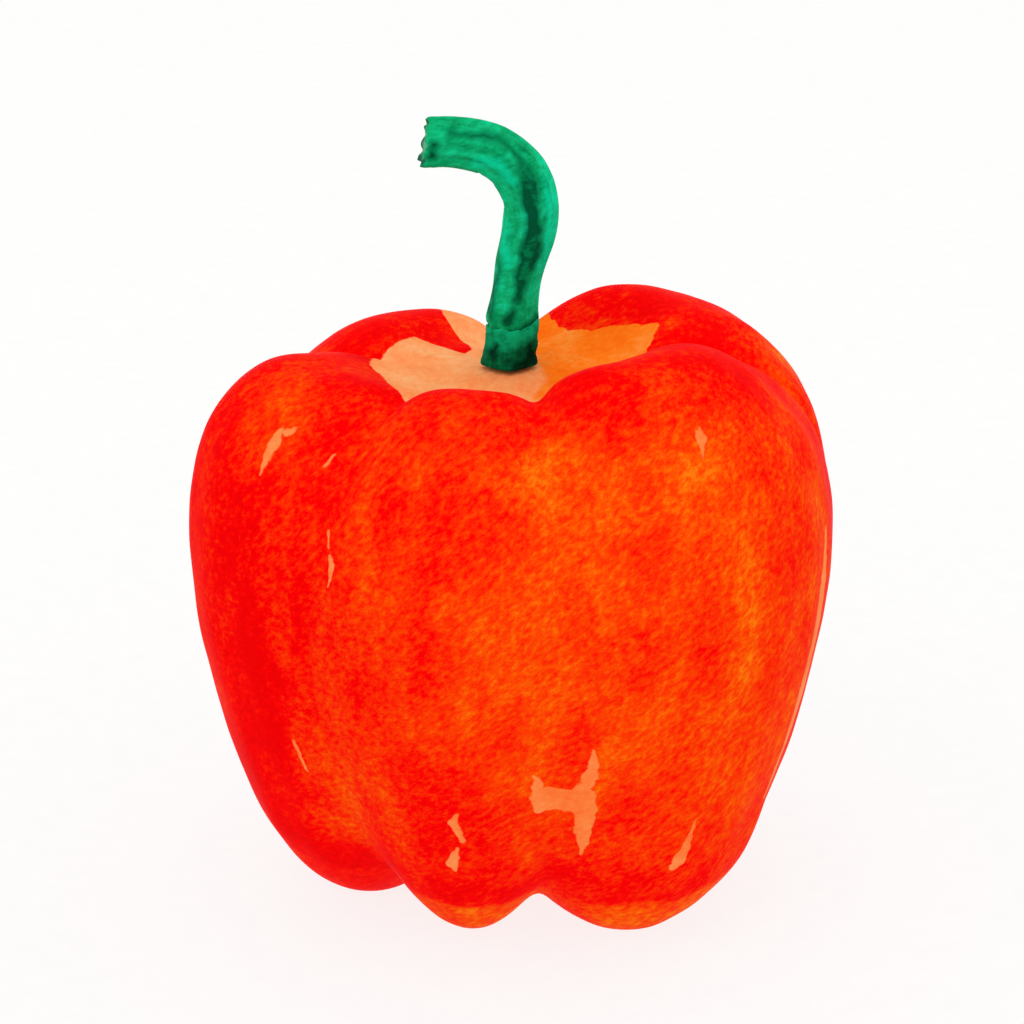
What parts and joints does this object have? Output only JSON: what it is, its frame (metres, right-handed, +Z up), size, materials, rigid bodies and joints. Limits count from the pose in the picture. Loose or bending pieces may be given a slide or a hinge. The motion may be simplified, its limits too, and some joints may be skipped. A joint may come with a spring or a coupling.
{
  "type": "bell pepper",
  "caption": "Red bell pepper with rounded lobes, a sunken top with a small dark green calyx, and a thick green stem that bends over to a ragged cut end.",
  "frame": {"origin": "On the plane the pepper stands on, under the middle of its bounding box.", "axes": "+Z is up, towards the stem. -Y is the front. +X is to the right seen from the front, and the stem bends over towards -X."},
  "size_m": [0.088, 0.0824, 0.111],
  "materials": {
    "red_skin": "Waxy, glossy red pepper skin, orange on the swell of each lobe and a pale orange in the hollow round the stem.",
    "dark_green_calyx": "Dull, very dark green.",
    "green_stem": "Satin emerald green, faintly ribbed along its length, pale pith on the cut."
  },
  "bodies": {
    "root": {"fruit": "red_skin", "calyx": "dark_green_calyx", "stem": "green_stem"}
  },
  "joints": []
}
